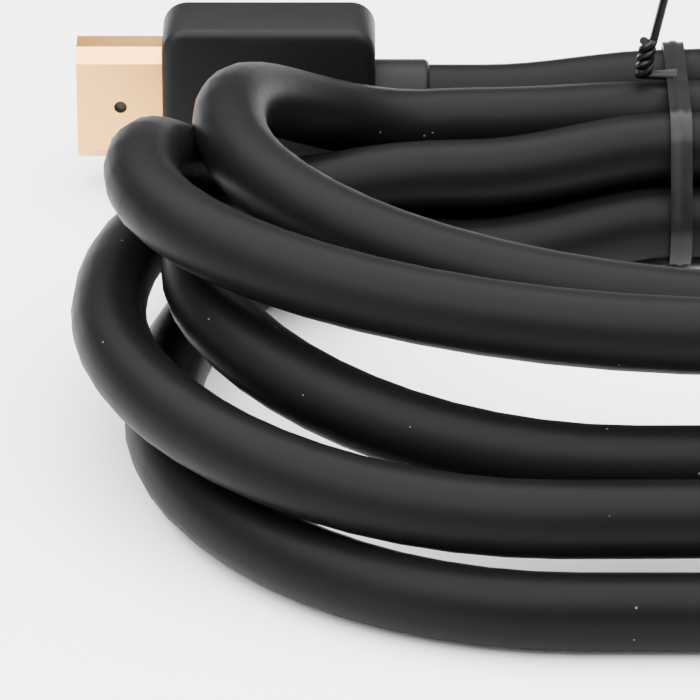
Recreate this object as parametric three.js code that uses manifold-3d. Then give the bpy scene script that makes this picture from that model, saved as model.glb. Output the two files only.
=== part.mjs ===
// HDMI cable: a coiled round jacket with a moulded plug on each end and a twist tie round the coil.
// Millimetres, +Z up. The near side of the coil is towards -Y.
import * as THREE from 'three';
import * as BufferGeometryUtils from 'three/addons/utils/BufferGeometryUtils.js';
import Module from 'manifold-3d';

const wasm = await Module();
wasm.setup();

// Jacket
const jacketDiameter = 8;
const jacketSides = 10;
const stepsPerQuarter = 5;

// Moulded plug body, its width upright on the first plug and flat on the second
const bodyLength = 24;
const bodyWidth = 21;
const bodyThickness = 9.3;
const bodyCornerRadius = 3;
const bodyEdgeRadius = 1.2;
const reliefDiameter = 9.2;
const reliefLength = 6.2;

// Plug shell and the insulator inside it
const shellWidth = 13.9;
const shellThickness = 4.45;
const shellWall = 0.3;
const shellLength = 9.9;
const shellShoulder = 1.5;
const latchHoleDiameter = 1.5;
const latchHoleSetback = 5;
const insulatorLength = 8.4;
const insulatorSlotWidth = 11.4;
const insulatorSlotHeight = 1.9;
const insulatorSlotDepth = 6.4;

// Twist tie
const tieWidth = 2.4;
const tieThickness = 0.8;
const tieTailDiameter = 1.3;
const tieTailLength = 11;
const tieTailLean = 2;

const clearance = 0.3;
const tieClearance = 0.5;
const roundSides = 24;

const black = (roughness) => new THREE.MeshStandardMaterial({ color: 0x0c0c0d, roughness, metalness: 0 });
const gold = () => new THREE.MeshStandardMaterial({ color: 0xe0ac62, roughness: 0.3, metalness: 1 });

// Booleans

function toSolid(geometry) {
  const plain = geometry.clone();
  plain.deleteAttribute('normal');
  plain.deleteAttribute('uv');
  const merged = BufferGeometryUtils.mergeVertices(plain, 1e-4);
  return new wasm.Manifold(new wasm.Mesh({
    numProp: 3,
    vertProperties: new Float32Array(merged.attributes.position.array),
    triVerts: new Uint32Array(merged.index.array),
  }));
}

function toGeometry(solid) {
  const mesh = solid.getMesh();
  const geometry = new THREE.BufferGeometry();
  geometry.setAttribute('position', new THREE.BufferAttribute(new Float32Array(mesh.vertProperties), 3));
  geometry.setIndex(new THREE.BufferAttribute(new Uint32Array(mesh.triVerts), 1));
  geometry.computeVertexNormals();
  return geometry;
}

function box(lengthX, lengthY, lengthZ, x, y, z) {
  return new THREE.BoxGeometry(lengthX, lengthY, lengthZ).translate(x, y, z);
}

// Route of the jacket's centre line, with the floor at Z = 0 and X = 0, Y = 0 on the nearest run

const point = (x, y, z) => new THREE.Vector3(x, y, z);

// Each turn: its right end, the near run from right to left, its left end, the start of the far run,
// where it passes through the tie, and where that run ends. drop above 1 lowers the left end sooner.
const turns = [
  {
    right: point(74, 66, 30), nearRight: point(34, 27, 22.8), nearLeft: point(22, 27.5, 23.4),
    left: point(-38, 64, 27.5), farLeft: point(-11, 92.5, 13.5), tie: point(12, 96.5, 12.5),
    farRight: point(34, 96.5, 12.3), drop: 1.1,
  },
  {
    right: point(78, 56, 21), nearRight: point(34, 18, 24.5), nearLeft: point(16, 18.5, 25.3),
    left: point(-47, 49, 29), farLeft: point(-12, 83, 11.6), tie: point(12, 88.2, 12.5),
    farRight: point(34, 88.2, 12.3), drop: 1.4,
  },
  {
    right: point(67, 50, 12.6), nearRight: point(34, 14, 13.2), nearLeft: point(4, 13.8, 13.2),
    left: point(-41, 46, 19), farLeft: point(-12, 78.2, 4), tie: point(12, 84, 5.3),
    farRight: point(34, 84, 4), drop: 1,
  },
  {
    right: point(76, 42, 4), nearRight: point(34, 0, 4), nearLeft: point(-2, 0, 4),
    left: point(-45, 41, 4.5), farLeft: point(-12, 87, 4), tie: point(12, 92.3, 5.3),
    farRight: point(34, 92.3, 5), drop: 1,
  },
  {
    right: point(81, 49, 13), nearRight: point(34, 6, 11.4), nearLeft: point(-4, 5.8, 11.3),
    left: point(-50.5, 44, 15), farLeft: point(-12, 95.6, 4), tie: point(12, 100.6, 5.3),
    farRight: point(34, 104, 4), drop: 1,
  },
];
const firstPlugEnd = point(-15.6, 105, 10.5);
const firstLead = [point(12, 104.8, 12.5), point(34, 104.8, 14.5)];
const secondPlugEnd = point(66, 114, bodyThickness / 2);
const straightAtPlug = 6;

const easeInOut = (share) => (1 - Math.cos(Math.PI * share)) / 2;

function addRun(points, to, steps) {
  const from = points[points.length - 1];
  for (let i = 1; i <= steps; i += 1) {
    const share = i / steps;
    const eased = easeInOut(share);
    points.push(point(
      THREE.MathUtils.lerp(from.x, to.x, share),
      THREE.MathUtils.lerp(from.y, to.y, eased),
      THREE.MathUtils.lerp(from.z, to.z, eased),
    ));
  }
}

function addBend(points, to, leavesAlongX, drop = 1) {
  const from = points[points.length - 1];
  for (let i = 1; i <= stepsPerQuarter; i += 1) {
    const angle = (Math.PI / 2) * (i / stepsPerQuarter);
    const ahead = Math.sin(angle);
    const aside = 1 - Math.cos(angle);
    points.push(point(
      THREE.MathUtils.lerp(from.x, to.x, leavesAlongX ? ahead : aside),
      THREE.MathUtils.lerp(from.y, to.y, leavesAlongX ? aside : ahead),
      THREE.MathUtils.lerp(from.z, to.z, easeInOut(Math.min(1, drop * (i / stepsPerQuarter)))),
    ));
  }
}

function jacketRoute() {
  const points = [firstPlugEnd.clone(), firstPlugEnd.clone().add(point(straightAtPlug, 0, 0))];
  addRun(points, firstLead[0], 2);
  addRun(points, firstLead[1], 1);
  for (const turn of turns) {
    addBend(points, turn.right, true);
    addBend(points, turn.nearRight, false);
    addRun(points, turn.nearLeft, 2);
    addBend(points, turn.left, true);
    addBend(points, turn.farLeft, false, turn.drop);
    addRun(points, turn.tie, 1);
    addRun(points, turn.farRight, 1);
  }
  addRun(points, secondPlugEnd.clone().sub(point(straightAtPlug, 0, 0)), 3);
  addRun(points, secondPlugEnd, 2);
  return points;
}

function jacketGeometry() {
  const points = jacketRoute();
  const radius = jacketDiameter / 2;
  const section = new THREE.Shape();
  for (let i = 0; i < jacketSides; i += 1) {
    const angle = (2 * Math.PI * i) / jacketSides;
    const corner = [radius * Math.cos(angle), radius * Math.sin(angle)];
    if (i === 0) section.moveTo(...corner);
    else section.lineTo(...corner);
  }
  section.closePath();
  const path = new THREE.CatmullRomCurve3(points);
  return new THREE.ExtrudeGeometry(section, { steps: points.length - 1, extrudePath: path });
}

// Plugs, drawn with the cable end of the strain relief at the origin and the mouth towards +X

function roundedOutline(length, width, radius) {
  const shape = new THREE.Shape();
  const x = length / 2;
  const y = width / 2;
  shape.moveTo(-x + radius, -y);
  shape.lineTo(x - radius, -y);
  shape.absarc(x - radius, -y + radius, radius, -Math.PI / 2, 0);
  shape.lineTo(x, y - radius);
  shape.absarc(x - radius, y - radius, radius, 0, Math.PI / 2);
  shape.lineTo(-x + radius, y);
  shape.absarc(-x + radius, y - radius, radius, Math.PI / 2, Math.PI);
  shape.lineTo(-x, -y + radius);
  shape.absarc(-x + radius, -y + radius, radius, Math.PI, 1.5 * Math.PI);
  return shape;
}

function plugBodyGeometry() {
  const outline = roundedOutline(
    bodyLength - 2 * bodyEdgeRadius,
    bodyWidth - 2 * bodyEdgeRadius,
    bodyCornerRadius - bodyEdgeRadius,
  );
  const block = new THREE.ExtrudeGeometry(outline, {
    depth: bodyThickness - 2 * bodyEdgeRadius,
    bevelEnabled: true,
    bevelThickness: bodyEdgeRadius,
    bevelSize: bodyEdgeRadius,
    bevelSegments: 3,
    curveSegments: 5,
  });
  block.translate(reliefLength + bodyLength / 2, 0, -bodyThickness / 2 + bodyEdgeRadius);
  const overlap = 2;
  const relief = new THREE.CylinderGeometry(
    reliefDiameter / 2, reliefDiameter / 2, reliefLength + overlap, roundSides,
  );
  relief.rotateZ(Math.PI / 2).translate((reliefLength + overlap) / 2, 0, 0);
  return toGeometry(toSolid(block).add(toSolid(relief)));
}

function shellOutline(inset) {
  const halfWidth = shellWidth / 2 - inset;
  const halfHeight = shellThickness / 2 - inset;
  const shape = new THREE.Shape();
  shape.moveTo(-halfWidth + shellShoulder, -halfHeight);
  shape.lineTo(halfWidth - shellShoulder, -halfHeight);
  shape.lineTo(halfWidth, -halfHeight + shellShoulder);
  shape.lineTo(halfWidth, halfHeight);
  shape.lineTo(-halfWidth, halfHeight);
  shape.lineTo(-halfWidth, -halfHeight + shellShoulder);
  shape.closePath();
  return shape;
}

// A plug's section is drawn in the Y-Z plane and runs along +X.
function alongPlug(shape, length, startX) {
  const geometry = new THREE.ExtrudeGeometry(shape, { depth: length, bevelEnabled: false });
  geometry.rotateX(Math.PI / 2).rotateZ(Math.PI / 2);
  return geometry.translate(startX, 0, 0);
}

const shellStart = reliefLength + bodyLength + clearance;

function shellGeometry() {
  const outer = alongPlug(shellOutline(0), shellLength, shellStart);
  const bore = alongPlug(shellOutline(shellWall), shellLength + 2, shellStart - 1);
  const hole = new THREE.CylinderGeometry(
    latchHoleDiameter / 2, latchHoleDiameter / 2, 2 * shellThickness, roundSides,
  );
  hole.rotateX(Math.PI / 2).translate(shellStart + shellLength - latchHoleSetback, 0, 0);
  return toGeometry(toSolid(outer).subtract(toSolid(bore)).subtract(toSolid(hole)));
}

function insulatorGeometry() {
  const block = alongPlug(shellOutline(shellWall + clearance), insulatorLength, shellStart);
  const slotStart = shellStart + insulatorLength - insulatorSlotDepth;
  const slot = box(
    insulatorSlotDepth + 1, insulatorSlotWidth, insulatorSlotHeight,
    slotStart + (insulatorSlotDepth + 1) / 2, 0, 0,
  );
  return toGeometry(toSolid(block).subtract(toSolid(slot)));
}

function makePlug(name) {
  const plug = new THREE.Group();
  const body = new THREE.Mesh(plugBodyGeometry(), black(0.45));
  body.name = `${name}_body`;
  const shell = new THREE.Mesh(shellGeometry(), gold());
  shell.name = `${name}_shell`;
  const insulator = new THREE.Mesh(insulatorGeometry(), black(0.6));
  insulator.name = `${name}_insulator`;
  plug.add(body, shell, insulator);
  return plug;
}

// Twist tie: a flat strip closed round the far runs at the tie, its ends twisted into one tail

function tieOutline(minY, maxY, minZ, maxZ, radius) {
  const shape = new THREE.Shape();
  shape.moveTo(minY + radius, minZ);
  shape.lineTo(maxY - radius, minZ);
  shape.absarc(maxY - radius, minZ + radius, radius, -Math.PI / 2, 0);
  shape.lineTo(maxY, maxZ - radius);
  shape.absarc(maxY - radius, maxZ - radius, radius, 0, Math.PI / 2);
  shape.lineTo(minY + radius, maxZ);
  shape.absarc(minY + radius, maxZ - radius, radius, Math.PI / 2, Math.PI);
  shape.lineTo(minY, minZ + radius);
  shape.absarc(minY + radius, minZ + radius, radius, Math.PI, 1.5 * Math.PI);
  return shape;
}

function tieGeometry() {
  const held = [firstLead[0], ...turns.map((turn) => turn.tie)];
  const reach = jacketDiameter / 2 + tieClearance;
  const minY = Math.min(...held.map((p) => p.y)) - reach;
  const maxY = Math.max(...held.map((p) => p.y)) + reach;
  const minZ = Math.min(...held.map((p) => p.z)) - reach;
  const maxZ = Math.max(...held.map((p) => p.z)) + reach;
  const t = tieThickness;
  const outline = tieOutline(minY - t, maxY + t, minZ - t, maxZ + t, reach + t);
  outline.holes.push(tieOutline(minY, maxY, minZ, maxZ, reach));
  const loop = new THREE.ExtrudeGeometry(outline, { depth: tieWidth, bevelEnabled: false, curveSegments: 6 });
  loop.rotateX(Math.PI / 2).rotateZ(Math.PI / 2);
  loop.translate(firstLead[0].x - tieWidth / 2, 0, 0);
  const tail = new THREE.CylinderGeometry(tieTailDiameter / 2, tieTailDiameter / 2, tieTailLength, 10);
  tail.rotateX(Math.PI / 2).translate(0, 0, tieTailLength / 2 - t / 2);
  tail.rotateY(Math.atan2(tieTailLean, tieTailLength));
  tail.translate(firstLead[0].x - tieWidth / 4, firstLead[0].y - jacketDiameter, maxZ + t / 2);
  return toGeometry(toSolid(loop).add(toSolid(tail)));
}

// Assembly

const cable = new THREE.Group();

const jacket = new THREE.Mesh(jacketGeometry(), black(0.5));
jacket.name = 'cable_jacket';
cable.add(jacket);

const firstPlug = makePlug('plug_a');
firstPlug.rotation.set(Math.PI / 2, Math.PI, 0);
firstPlug.position.copy(firstPlugEnd).x -= clearance;
cable.add(firstPlug);

const secondPlug = makePlug('plug_b');
secondPlug.position.copy(secondPlugEnd).x += clearance;
cable.add(secondPlug);

const tie = new THREE.Mesh(tieGeometry(), black(0.4));
tie.name = 'twist_tie';
cable.add(tie);

// The origin is at floor level under the middle of the whole cable.
const extent = new THREE.Box3().setFromObject(cable);
const middle = extent.getCenter(new THREE.Vector3());
cable.position.set(-middle.x, -middle.y, -extent.min.z);

export default cable;
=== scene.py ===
import math

import bpy
from mathutils import Matrix, Vector


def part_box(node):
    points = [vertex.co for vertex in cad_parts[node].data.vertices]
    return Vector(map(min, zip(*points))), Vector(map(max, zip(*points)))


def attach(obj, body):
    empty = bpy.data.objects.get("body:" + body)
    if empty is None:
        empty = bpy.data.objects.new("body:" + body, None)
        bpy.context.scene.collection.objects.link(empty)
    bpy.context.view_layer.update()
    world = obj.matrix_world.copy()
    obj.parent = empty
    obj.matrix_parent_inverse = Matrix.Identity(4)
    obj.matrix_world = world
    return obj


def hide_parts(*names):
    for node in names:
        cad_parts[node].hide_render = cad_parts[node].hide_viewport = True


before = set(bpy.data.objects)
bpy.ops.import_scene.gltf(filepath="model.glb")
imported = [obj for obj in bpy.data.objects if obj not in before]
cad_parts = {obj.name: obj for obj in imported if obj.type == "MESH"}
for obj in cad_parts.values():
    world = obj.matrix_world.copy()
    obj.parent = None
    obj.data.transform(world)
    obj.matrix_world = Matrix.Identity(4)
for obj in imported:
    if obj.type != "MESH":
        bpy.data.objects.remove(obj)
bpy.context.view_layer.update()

# Setting
# A pale sheet on a level table, seen from 28 degrees above, near and long-lensed, under soft light.
MM = 0.001
SECOND_PLUG_END = (66.0, 114.0, 4.65)
# The solids of the jacket, the plug's body and its shell stand this far apart.
CLEARANCE = 0.3
# The coil is laid out in a frame of its own, which the second plug's solid ties to the shared one.
plug_b_low, plug_b_high = (Vector(corner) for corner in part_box("plug_b_body"))
plug_b_middle = (plug_b_low + plug_b_high) / 2
ORIGIN = Vector((
    plug_b_low.x - (SECOND_PLUG_END[0] + CLEARANCE) * MM,
    plug_b_middle.y - SECOND_PLUG_END[1] * MM,
    plug_b_low.z,
))


def place(x, y, z):
    """A point of the coil's own frame, in millimetres, as a point of the shared frame in metres."""
    return ORIGIN + Vector((x, y, z)) * MM


CAMERA_TILT = math.radians(62)
CAMERA_POINT = (-25.0, -517.5, 308.8)
FOCAL_LENGTH = 308.6
SENSOR_WIDTH = 36
camera_data = bpy.data.cameras.new("photo_camera")
camera_data.lens = FOCAL_LENGTH
camera_data.sensor_width = SENSOR_WIDTH
camera = bpy.data.objects.new("photo_camera", camera_data)
camera.location = place(*CAMERA_POINT)
camera.rotation_euler = (CAMERA_TILT, 0, 0)
bpy.context.scene.collection.objects.link(camera)
bpy.context.scene.camera = camera

# Cable jacket
# One extruded tube of soft black PVC, 8 mm across and about 1.73 m long, coiled five times.
# It is satin, faintly uneven along its length, and carries a few specks of dust.
JACKET_DIAMETER = 8.0
BEND_STEPS = 14
RUN_STEPS = 8
JACKET_ROUNDNESS = 7
SAME_PLACE = 1e-6
CREASE_ANGLE = math.radians(40)
FIRST_PLUG_END = (-15.6, 105.0, 10.5)
STRAIGHT_AT_PLUG = 6.0
# Each end runs on into its plug's relief, so that no light shows between them.
ROOT_IN_PLUG = 1.2
JACKET_COLOURS = ((0.0018, 0.0018, 0.002, 1), (0.004, 0.004, 0.0044, 1))
PORE_DEPTH = 0.35
DUST_COLOUR = (0.22, 0.22, 0.23, 1)
DUST_STRENGTH = 0.35
DUST_SCALE = 420.0
DUST_SIZE = 0.055
DUSTY_PATCH = 0.57
FIRST_LEAD = ((12, 104.8, 12.5), (34, 104.8, 14.5))
# Each turn's stations: right end, near run right and left, left end, far run left, at the tie, and
# far run right. The last number says how many times as fast as its last bend the turn comes down.
TURNS = (
    ((74, 66, 30), (34, 27, 22.8), (22, 27.5, 23.4), (-38, 64, 27.5),
     (-11, 92.5, 13.5), (12, 96.5, 12.5), (34, 96.5, 12.3), 1.1),
    ((78, 56, 21), (34, 18, 24.5), (16, 18.5, 25.3), (-47, 49, 29),
     (-12, 83, 11.6), (12, 88.2, 12.5), (34, 88.2, 12.3), 1.4),
    ((67, 50, 12.6), (34, 14, 13.2), (4, 13.8, 13.2), (-41, 46, 19),
     (-12, 78.2, 4), (12, 84, 5.3), (34, 84, 4), 1.0),
    ((76, 42, 4), (34, 0, 4), (-2, 0, 4), (-45, 41, 4.5),
     (-12, 87, 4), (12, 92.3, 5.3), (34, 92.3, 5), 1.0),
    ((81, 49, 13), (34, 6, 11.4), (-4, 5.8, 11.3), (-50.5, 44, 15),
     (-12, 95.6, 4), (12, 100.6, 5.3), (34, 104, 4), 1.0),
)


def ease(share):
    return (1 - math.cos(math.pi * share)) / 2


def blend_points(start, end, shares):
    return tuple(a + (b - a) * share for a, b, share in zip(start, end, shares))


def add_run(route, end):
    start = route[-1]
    for step in range(1, RUN_STEPS + 1):
        share = step / RUN_STEPS
        route.append(blend_points(start, end, (share, ease(share), ease(share))))


def add_bend(route, end, leaves_along_x, drop=1.0):
    start = route[-1]
    for step in range(1, BEND_STEPS + 1):
        angle = math.pi / 2 * step / BEND_STEPS
        ahead = math.sin(angle)
        aside = 1 - math.cos(angle)
        fall = ease(min(1.0, drop * step / BEND_STEPS))
        across = (ahead, aside) if leaves_along_x else (aside, ahead)
        route.append(blend_points(start, end, (*across, fall)))


def jacket_route():
    x, y, z = FIRST_PLUG_END
    route = [(x - ROOT_IN_PLUG, y, z), (x + STRAIGHT_AT_PLUG, y, z)]
    for end in FIRST_LEAD:
        add_run(route, end)
    for right, near_right, near_left, left, far_left, at_tie, far_right, drop in TURNS:
        add_bend(route, right, leaves_along_x=True)
        add_bend(route, near_right, leaves_along_x=False)
        add_run(route, near_left)
        add_bend(route, left, leaves_along_x=True)
        add_bend(route, far_left, leaves_along_x=False, drop=drop)
        add_run(route, at_tie)
        add_run(route, far_right)
    x, y, z = SECOND_PLUG_END
    add_run(route, (x - STRAIGHT_AT_PLUG, y, z))
    route.append((x + ROOT_IN_PLUG, y, z))
    return [place(*point) for point in route]


def select_only(*chosen):
    """Selects these pieces and no others, with the first of them active."""
    bpy.ops.object.select_all(action="DESELECT")
    for piece in chosen:
        piece.select_set(True)
    bpy.context.view_layer.objects.active = chosen[0]


def tube(name, route, radius, roundness):
    """A closed round tube along a route, as a mesh."""
    curve = bpy.data.curves.new(name, "CURVE")
    curve.dimensions = "3D"
    curve.bevel_depth = radius
    curve.bevel_resolution = roundness
    curve.use_fill_caps = True
    spline = curve.splines.new("POLY")
    spline.points.add(len(route) - 1)
    for spline_point, position in zip(spline.points, route):
        spline_point.co = (*position, 1)
    made = bpy.data.objects.new(name, curve)
    bpy.context.scene.collection.objects.link(made)
    select_only(made)
    bpy.ops.object.convert(target="MESH")
    made = bpy.context.object
    bpy.ops.object.mode_set(mode="EDIT")
    bpy.ops.mesh.select_all(action="SELECT")
    bpy.ops.mesh.remove_doubles(threshold=SAME_PLACE)
    bpy.ops.mesh.normals_make_consistent(inside=False)
    bpy.ops.object.mode_set(mode="OBJECT")
    bpy.ops.object.shade_smooth_by_angle(angle=CREASE_ANGLE)
    return made


jacket_line = jacket_route()
jacket = tube("jacket", jacket_line, JACKET_DIAMETER / 2 * MM, JACKET_ROUNDNESS)
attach(jacket, "root")
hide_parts("cable_jacket")


class Value:
    """A shader socket that can be written in sums."""

    def __init__(self, shader, socket):
        self.shader = shader
        self.socket = socket

    def _math(self, operation, first, second):
        return self.shader.node("ShaderNodeMath", {"operation": operation}, {0: first, 1: second})

    def __add__(self, other):
        return self._math("ADD", self, other)

    def __mul__(self, other):
        return self._math("MULTIPLY", self, other)

    def __gt__(self, other):
        return self._math("GREATER_THAN", self, other)

    def __lt__(self, other):
        return self._math("LESS_THAN", self, other)

    __radd__ = __add__
    __rmul__ = __mul__


class Shader:
    """One material, its nodes added by one method."""

    def __init__(self, name):
        self.material = bpy.data.materials.new(name)
        self.material.use_nodes = True
        self.tree = self.material.node_tree
        self.surface = self.tree.nodes["Principled BSDF"]
        self.coordinates = self.node("ShaderNodeTexCoord", {}, {}, "Object")

    def node(self, kind, settings, sockets, output=0):
        made = self.tree.nodes.new(kind)
        for key, setting in settings.items():
            setattr(made, key, setting)
        for key, given in sockets.items():
            if isinstance(given, Value):
                self.tree.links.new(given.socket, made.inputs[key])
            else:
                made.inputs[key].default_value = given
        return Value(self, made.outputs[output])

    def noise(self, scale, detail):
        sockets = {"Vector": self.coordinates, "Scale": scale, "Detail": detail}
        return self.node("ShaderNodeTexNoise", {}, sockets)

    def mix(self, factor, first, second):
        sockets = {0: factor, 6: first, 7: second}
        return self.node("ShaderNodeMix", {"data_type": "RGBA"}, sockets, 2)

    def drive(self, socket, value):
        self.tree.links.new(value.socket, self.surface.inputs[socket])

    def roughen(self, cloud, least, spread):
        self.drive("Roughness", cloud * spread + least)

    def bump(self, height, strength, distance):
        sockets = {"Height": height, "Strength": strength, "Distance": distance}
        self.drive("Normal", self.node("ShaderNodeBump", {}, sockets))

    def fix(self, **constants):
        for key, number in constants.items():
            self.surface.inputs[key.replace("_", " ")].default_value = number


jacket_pvc = Shader("jacket_pvc")
cloudy = jacket_pvc.noise(scale=60, detail=4)
pores = jacket_pvc.noise(scale=2600, detail=2)
waves = jacket_pvc.noise(scale=220, detail=2)
specks = jacket_pvc.node(
    "ShaderNodeTexVoronoi", {}, {"Vector": jacket_pvc.coordinates, "Scale": DUST_SCALE})
dust = (specks < DUST_SIZE) * (jacket_pvc.noise(scale=130, detail=1) > DUSTY_PATCH)
shade = jacket_pvc.mix(cloudy, *JACKET_COLOURS)
jacket_pvc.drive("Base Color", jacket_pvc.mix(dust * DUST_STRENGTH, shade, DUST_COLOUR))
jacket_pvc.roughen(cloudy, least=0.4, spread=0.14)
jacket_pvc.bump(pores * PORE_DEPTH + waves, strength=0.2, distance=0.0002)
jacket_pvc.fix(IOR=1.4, Specular_IOR_Level=0.09)
jacket.data.materials.append(jacket_pvc.material)

# Plug bodies
# Each is one block of black PVC moulded over the shell's root and the cable, with soft corners.
# Its strain relief is a short round collar in the same shot, ending square on the jacket.
BODY_LENGTH = 24.0
BODY_WIDTH = 21.0
BODY_THICKNESS = 9.3
RELIEF_LENGTH = 6.2
RELIEF_DIAMETER = 9.2
RELIEF_SIDES = 64
RELIEF_ROOT = 2.0
RELIEF_EDGE = 0.7
RELIEF_EDGE_STEPS = 4
BODY_CORNER = 2.8
BODY_CORNER_STEPS = 8
BODY_EDGE = 1.1
BODY_EDGE_STEPS = 5
MOULDING_CREASE_ANGLE = math.radians(28)
# The block laps the shell by this much, and closes the gap between them.
SHELL_SEAT = 0.35
MOULDING_COLOURS = ((0.003, 0.003, 0.0034, 1), (0.006, 0.006, 0.0066, 1))


def select_edges(piece, wanted):
    """Selects the edges whose two ends pass the test, and opens edit mode."""
    bpy.ops.object.mode_set(mode="EDIT")
    bpy.ops.mesh.select_mode(type="EDGE")
    bpy.ops.mesh.select_all(action="DESELECT")
    bpy.ops.object.mode_set(mode="OBJECT")
    for edge in piece.data.edges:
        ends = [piece.data.vertices[index].co for index in edge.vertices]
        edge.select = wanted(*ends)
    bpy.ops.object.mode_set(mode="EDIT")


def moulded_block():
    """The block with its four corners and both wide faces' edges rounded."""
    length = BODY_LENGTH + SHELL_SEAT
    middle = (RELIEF_LENGTH + length / 2) * MM
    wide_face = BODY_THICKNESS / 2 * MM
    bpy.ops.object.select_all(action="DESELECT")
    bpy.ops.mesh.primitive_cube_add(size=1, location=(middle, 0, 0))
    block = bpy.context.object
    block.scale = (length * MM, BODY_WIDTH * MM, BODY_THICKNESS * MM)
    bpy.ops.object.transform_apply(location=True, rotation=True, scale=True)
    select_edges(block, lambda a, b: abs(a.z - b.z) > MM)
    bpy.ops.mesh.bevel(offset=BODY_CORNER * MM, segments=BODY_CORNER_STEPS, affect="EDGES")
    select_edges(block, lambda a, b: (
        abs(a.z - b.z) < SAME_PLACE and abs(abs(a.z) - wide_face) < SAME_PLACE))
    bpy.ops.mesh.bevel(offset=BODY_EDGE * MM, segments=BODY_EDGE_STEPS, affect="EDGES")
    bpy.ops.object.mode_set(mode="OBJECT")
    return block


def strain_relief():
    """The collar, from its free end at the origin to its root in the block."""
    length = (RELIEF_LENGTH + RELIEF_ROOT) * MM
    bpy.ops.object.select_all(action="DESELECT")
    bpy.ops.mesh.primitive_cylinder_add(
        vertices=RELIEF_SIDES, radius=RELIEF_DIAMETER / 2 * MM, depth=length,
        location=(length / 2, 0, 0), rotation=(0, math.pi / 2, 0))
    relief = bpy.context.object
    bpy.ops.object.transform_apply(location=True, rotation=True, scale=True)
    select_edges(relief, lambda a, b: a.x < SAME_PLACE and b.x < SAME_PLACE)
    bpy.ops.mesh.bevel(offset=RELIEF_EDGE * MM, segments=RELIEF_EDGE_STEPS, affect="EDGES")
    bpy.ops.object.mode_set(mode="OBJECT")
    return relief


def plug_moulding():
    """A plug's block and strain relief as one piece along +X."""
    block = moulded_block()
    relief = strain_relief()
    union = block.modifiers.new("relief", "BOOLEAN")
    union.object = relief
    union.operation = "UNION"
    union.solver = "EXACT"
    select_only(block)
    bpy.ops.object.modifier_apply(modifier=union.name)
    bpy.data.objects.remove(relief)
    bpy.ops.object.shade_smooth_by_angle(angle=MOULDING_CREASE_ANGLE)
    return block


def copy_piece(pattern, name):
    """A copy of a piece, with its own mesh."""
    made = pattern.copy()
    made.data = pattern.data.copy()
    made.name = name
    bpy.context.scene.collection.objects.link(made)
    return made


def settle(piece, turn, end):
    """Turns a piece made along +X, moves it to its place and leaves its object at the origin."""
    piece.rotation_euler = turn
    piece.location = end
    select_only(piece)
    bpy.ops.object.transform_apply(location=True, rotation=True, scale=True)


# The first plug stands on its narrow side and points left, the second lies flat and points right.
PLUGS = {
    "plug_a": ((math.pi / 2, math.pi, 0), place(FIRST_PLUG_END[0] - CLEARANCE, *FIRST_PLUG_END[1:])),
    "plug_b": ((0, 0, 0), place(SECOND_PLUG_END[0] + CLEARANCE, *SECOND_PLUG_END[1:])),
}

moulding = Shader("plug_moulding")
mould_cloud = moulding.noise(scale=90, detail=3)
mould_grain = moulding.noise(scale=3400, detail=2)
moulding.drive("Base Color", moulding.mix(mould_cloud, *MOULDING_COLOURS))
moulding.roughen(mould_cloud, least=0.4, spread=0.14)
moulding.bump(mould_grain, strength=0.16, distance=0.00015)
moulding.fix(Specular_IOR_Level=0.1)

pattern = plug_moulding()
for plug_name, (turn, end) in PLUGS.items():
    body = copy_piece(pattern, f"{plug_name}_moulding")
    settle(body, turn, end)
    body.data.materials.append(moulding.material)
    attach(body, "root")
    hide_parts(f"{plug_name}_body")
bpy.data.objects.remove(pattern)

# Plug shells
# Thin sheet steel folded to the standard keyed outline and gold plated, with small latch holes.
# The plating is smooth with faint draw marks.
PLATING_COLOURS = ((0.8, 0.39, 0.1, 1), (0.9, 0.5, 0.17, 1))
plating = Shader("gold_plating")
tarnish = plating.noise(scale=140, detail=3)
draw_marks = plating.noise(scale=1500, detail=2)
plating.drive("Base Color", plating.mix(tarnish, *PLATING_COLOURS))
plating.roughen(tarnish, least=0.26, spread=0.14)
plating.bump(draw_marks, strength=0.08, distance=0.0001)
plating.fix(Metallic=1.0)


def finish_cad(node, material):
    """Gives a CAD node, whose shape is right, its finish."""
    piece = bpy.data.objects[node]
    piece.data.materials.clear()
    piece.data.materials.append(material)


for plug_name in PLUGS:
    finish_cad(f"{plug_name}_shell", plating.material)

# Insulators
# A black moulded block fills the shell's root and lines its mouth round the slot.
# It is pressed into the shell, and the contacts are set in it.
INSULATOR_COLOURS = ((0.012, 0.012, 0.012, 1), (0.024, 0.024, 0.024, 1))
insulation = Shader("insulator_moulding")
insulator_cloud = insulation.noise(scale=300, detail=3)
insulation.drive("Base Color", insulation.mix(insulator_cloud, *INSULATOR_COLOURS))
insulation.roughen(insulator_cloud, least=0.45, spread=0.2)
for plug_name in PLUGS:
    finish_cad(f"{plug_name}_insulator", insulation.material)

# Contacts
# Nineteen gilt spring strips lie in two rows on the slot's walls, ten on one side and nine between.
# Each is stamped from thin sheet, with its edges just broken, and ends short of the mouth.
INSULATOR_LENGTH = 8.4
SLOT_HEIGHT = 1.9
CONTACTS_IN_ROWS = (10, 9)
CONTACT_PITCH = 1.0
CONTACT_WIDTH = 0.4
CONTACT_THICKNESS = 0.2
CONTACT_LENGTH = 5.4
CONTACT_SETBACK = 0.6
CONTACT_EDGE = 0.05
CONTACT_EDGE_STEPS = 2
CONTACT_COLOURS = ((0.9, 0.62, 0.25, 1), (1.0, 0.75, 0.4, 1))


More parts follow.
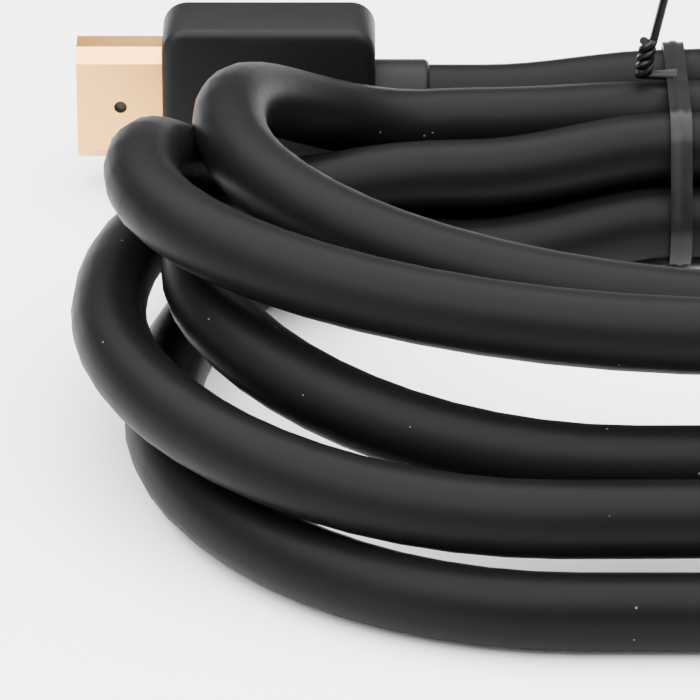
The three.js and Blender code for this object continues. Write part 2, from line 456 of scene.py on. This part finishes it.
def contact_strip():
    """One strip along +X, midway between the slot's walls."""
    front = RELIEF_LENGTH + BODY_LENGTH + CLEARANCE + INSULATOR_LENGTH - CONTACT_SETBACK
    bpy.ops.object.select_all(action="DESELECT")
    bpy.ops.mesh.primitive_cube_add(size=1, location=((front - CONTACT_LENGTH / 2) * MM, 0, 0))
    strip = bpy.context.object
    strip.scale = (CONTACT_LENGTH * MM, CONTACT_WIDTH * MM, CONTACT_THICKNESS * MM)
    bpy.ops.object.transform_apply(location=True, rotation=True, scale=True)
    bpy.ops.object.mode_set(mode="EDIT")
    bpy.ops.mesh.select_all(action="SELECT")
    bpy.ops.mesh.bevel(offset=CONTACT_EDGE * MM, segments=CONTACT_EDGE_STEPS, affect="EDGES")
    bpy.ops.object.mode_set(mode="OBJECT")
    return strip


def contact_rows():
    """A plug's two rows of strips as one piece along +X."""
    pattern = contact_strip()
    height = SLOT_HEIGHT / 2 - CONTACT_THICKNESS / 2
    strips = []
    for count, wall in zip(CONTACTS_IN_ROWS, (height, -height)):
        for index in range(count):
            across = (index - (count - 1) / 2) * CONTACT_PITCH
            strip = copy_piece(pattern, "contact_strip")
            strip.data.transform(Matrix.Translation((0, across * MM, wall * MM)))
            strips.append(strip)
    bpy.data.objects.remove(pattern)
    select_only(*strips)
    bpy.ops.object.join()
    return bpy.context.object


gilt = Shader("contact_gilt")
gilt_cloud = gilt.noise(scale=700, detail=2)
gilt.drive("Base Color", gilt.mix(gilt_cloud, *CONTACT_COLOURS))
gilt.roughen(gilt_cloud, least=0.22, spread=0.1)
gilt.fix(Metallic=1.0)

pattern = contact_rows()
for plug_name, (turn, end) in PLUGS.items():
    contacts = copy_piece(pattern, f"{plug_name}_contacts")
    settle(contacts, turn, end)
    contacts.data.materials.append(gilt.material)
    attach(contacts, "root")
bpy.data.objects.remove(pattern)

# Twist tie
# A flat black plastic strip with a wire down its middle is wrapped once round the far runs.
# Its two ends are twisted together on top, and one runs on as a short tail.
TIE_X = FIRST_LEAD[0][0]
TIE_WIDTH = 2.4
TIE_THICKNESS = 0.8
# The strip's section: across in half widths, and up in half thicknesses.
TIE_PROFILE = (
    (-1, -0.6), (-0.45, -0.6), (-0.2, -1), (0.2, -1), (0.45, -0.6), (1, -0.6),
    (1, 0.6), (0.45, 0.6), (0.2, 1), (-0.2, 1), (-0.45, 0.6), (-1, 0.6),
)
TIE_CLEARANCE = 0.2
TIE_CORNER_STEPS = 10
TWIST_FOOT = (8.2, 97.0, 17.4)
TWIST_RISE = 4.2
TWIST_RADIUS = 0.55
TWIST_TURNS = 2.0
TWIST_STEPS = 28
TWIST_LEAN = 0.5
STRAND_RADIUS = 0.5
STRAND_ROUNDNESS = 2
STRAND_SPREAD = 0.4
TAIL_TIP = (10.6, 97.4, 27.6)
TIE_COLOURS = ((0.003, 0.003, 0.0034, 1), (0.006, 0.006, 0.0068, 1))


def tie_path():
    """The loop's middle line, drawn tight round the slanted stack of six far runs."""
    held = [FIRST_LEAD[0]] + [at_tie for *_, at_tie, _, _ in TURNS]
    radius = JACKET_DIAMETER / 2 + TIE_CLEARANCE + TIE_THICKNESS / 2
    low = min(z for _, _, z in held)
    high = max(z for _, _, z in held)
    lower = [y for _, y, z in held if z == low]
    upper = [y for _, y, z in held if z == high]
    slant = math.degrees(math.atan2(max(upper) - max(lower), high - low))
    corners = (
        (max(lower), low, -90, -slant),
        (max(upper), high, -slant, 90),
        (min(upper), high, 90, 180 - slant),
        (min(lower), low, 180 - slant, 270),
    )
    path = []
    for y, z, start, end in corners:
        for step in range(TIE_CORNER_STEPS + 1):
            angle = math.radians(start + (end - start) * step / TIE_CORNER_STEPS)
            path.append((y + radius * math.cos(angle), z + radius * math.sin(angle)))
    return path


def tie_loop():
    """The loop as a flat strip that is thicker over its wire."""
    path = tie_path()
    centre = Vector((sum(y for y, _ in path), sum(z for _, z in path))) / len(path)
    vertices = []
    faces = []
    for index, (y, z) in enumerate(path):
        before = Vector(path[index - 1])
        after = Vector(path[(index + 1) % len(path)])
        along = (after - before).normalized()
        outward = Vector((along.y, -along.x))
        if outward.dot(Vector((y, z)) - centre) < 0:
            outward.negate()
        for across, up in TIE_PROFILE:
            lift = up * TIE_THICKNESS / 2
            vertices.append(place(
                TIE_X + across * TIE_WIDTH / 2, y + outward.x * lift, z + outward.y * lift))
    sides = len(TIE_PROFILE)
    for index in range(len(path)):
        following = (index + 1) % len(path)
        for side in range(sides):
            nearby = (side + 1) % sides
            faces.append((index * sides + side, index * sides + nearby,
                          following * sides + nearby, following * sides + side))
    mesh = bpy.data.meshes.new("tie_loop")
    mesh.from_pydata(vertices, [], faces)
    made = bpy.data.objects.new("tie_loop", mesh)
    bpy.context.scene.collection.objects.link(made)
    return made


def twisted_end(phase, tip=None):
    """One end of the strip, wound round the other, with a tail if it has a tip."""
    route = [place(TIE_X, TWIST_FOOT[1] + STRAND_SPREAD * math.cos(phase), TWIST_FOOT[2])]
    for step in range(TWIST_STEPS + 1):
        share = step / TWIST_STEPS
        angle = phase + 2 * math.pi * TWIST_TURNS * share
        route.append(place(
            TWIST_FOOT[0] + TWIST_RADIUS * math.cos(angle) + TWIST_LEAN * share,
            TWIST_FOOT[1] + TWIST_RADIUS * math.sin(angle),
            TWIST_FOOT[2] + TWIST_RISE * share))
    if tip:
        route.append(place(*tip))
    return tube("tie_end", route, STRAND_RADIUS * MM, STRAND_ROUNDNESS)


tie_plastic = Shader("tie_plastic")
tie_cloud = tie_plastic.noise(scale=400, detail=3)
tie_plastic.drive("Base Color", tie_plastic.mix(tie_cloud, *TIE_COLOURS))
tie_plastic.roughen(tie_cloud, least=0.24, spread=0.15)
tie_plastic.bump(tie_cloud, strength=0.1, distance=0.0001)
tie_plastic.fix(Specular_IOR_Level=0.14)

select_only(tie_loop(), twisted_end(0, TAIL_TIP), twisted_end(math.pi))
bpy.ops.object.join()
tie = bpy.context.object
tie.name = "tie_strip"
bpy.ops.object.mode_set(mode="EDIT")
bpy.ops.mesh.select_all(action="SELECT")
bpy.ops.mesh.normals_make_consistent(inside=False)
bpy.ops.object.mode_set(mode="OBJECT")
bpy.ops.object.shade_smooth_by_angle(angle=CREASE_ANGLE)
tie.data.materials.append(tie_plastic.material)
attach(tie, "root")
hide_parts("twist_tie")

# Table and light
# A pale level sheet, a broad soft light straight above, and a weaker one from the near left.
FLOOR_SIZE = 6.0
SHEET_COLOURS = ((0.94, 0.94, 0.95, 1), (0.97, 0.97, 0.975, 1))
# Each light: its name, its place in metres, its width in metres and its power in watts.
LIGHTS = (
    ("overhead", (0.0, 0.0, 0.95), 2.0, 112.0),
    ("near_left", (-0.8, -0.5, 0.7), 1.5, 16.0),
)
LIT_POINT = Vector((0.0, 0.0, 0.0))
SKY_COLOUR = (0.95, 0.96, 1.0, 1)
SKY_STRENGTH = 0.5
bpy.ops.object.select_all(action="DESELECT")
bpy.ops.mesh.primitive_plane_add(size=FLOOR_SIZE, location=(0, 0, ORIGIN.z))
floor = bpy.context.object
floor.name = "table"
sheet = Shader("pale_sheet")
sheet.drive("Base Color", sheet.mix(sheet.noise(scale=3, detail=2), *SHEET_COLOURS))
sheet.fix(Roughness=0.4)
floor.data.materials.append(sheet.material)

for light_name, position, size, power in LIGHTS:
    light_data = bpy.data.lights.new(light_name, "AREA")
    light_data.size = size
    light_data.energy = power
    light = bpy.data.objects.new(light_name, light_data)
    light.location = position
    light.rotation_euler = (LIT_POINT - Vector(position)).to_track_quat("-Z", "Y").to_euler()
    bpy.context.scene.collection.objects.link(light)

sky = bpy.data.worlds.new("soft_sky")
sky.use_nodes = True
sky.node_tree.nodes["Background"].inputs["Color"].default_value = SKY_COLOUR
sky.node_tree.nodes["Background"].inputs["Strength"].default_value = SKY_STRENGTH
bpy.context.scene.world = sky
